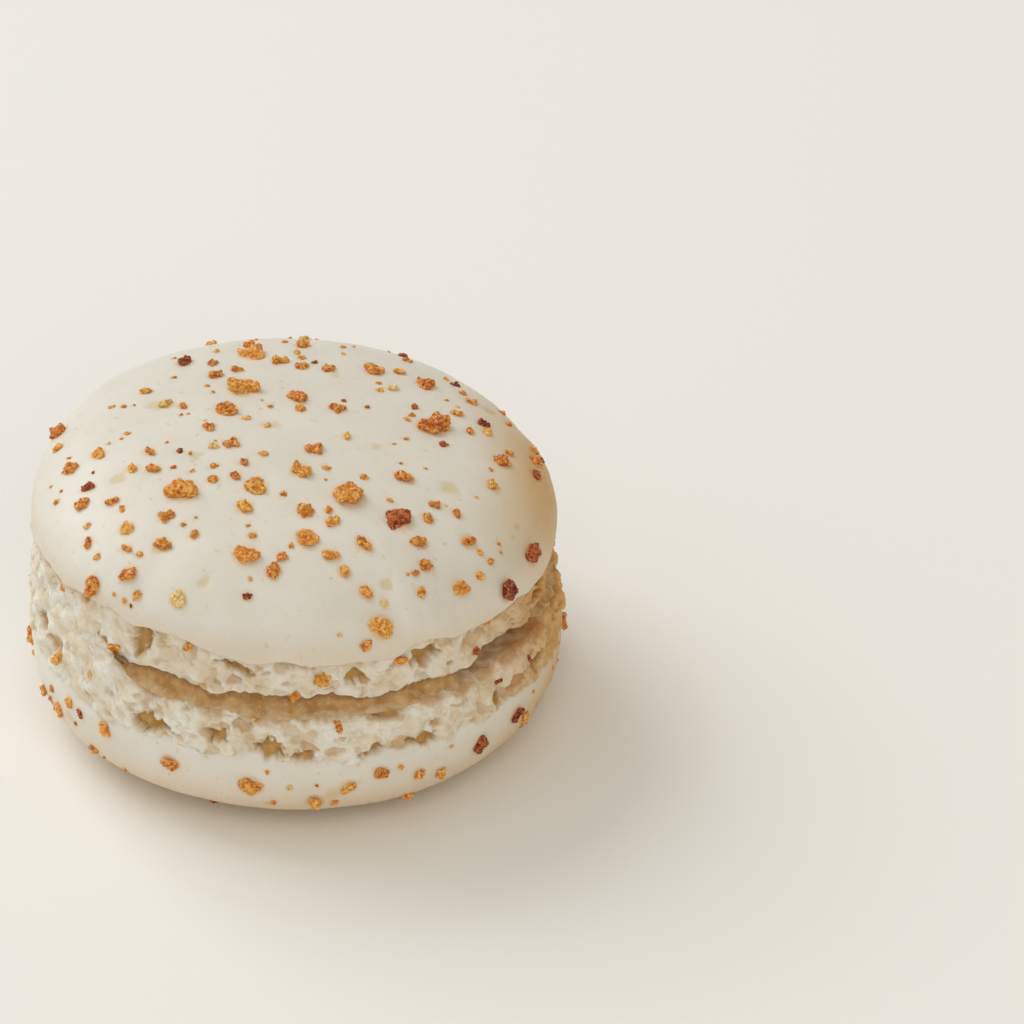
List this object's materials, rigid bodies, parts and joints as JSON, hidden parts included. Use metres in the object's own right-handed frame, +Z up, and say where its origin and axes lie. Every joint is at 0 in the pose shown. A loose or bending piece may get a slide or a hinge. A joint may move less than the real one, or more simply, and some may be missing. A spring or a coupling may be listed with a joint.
{
  "type": "french macaron",
  "caption": "Round sandwich biscuit: smooth domed almond meringue shells with foamy feet, scattered with toasted crumbs, round a layer of caramel buttercream.",
  "frame": {"origin": "on the small flat resting face under the lower shell, in the middle of the macaron as seen from above", "axes": "+Z is up through the two shells, and -Y faces the viewer, with the upper shell leaning down towards +X"},
  "size_m": [0.0469, 0.0465, 0.0272],
  "materials": {
    "meringue": "baked almond meringue: cream-white, matte like eggshell on the domes, foamy on the feet",
    "buttercream": "caramel buttercream, soft satin",
    "crumbs": "toasted caramel crumbs, grainy with small glints; a finish for the crumbs on the shells"
  },
  "bodies": {
    "root": {"shell_bottom": "meringue", "filling": "buttercream", "shell_top": "meringue"}
  },
  "joints": []
}
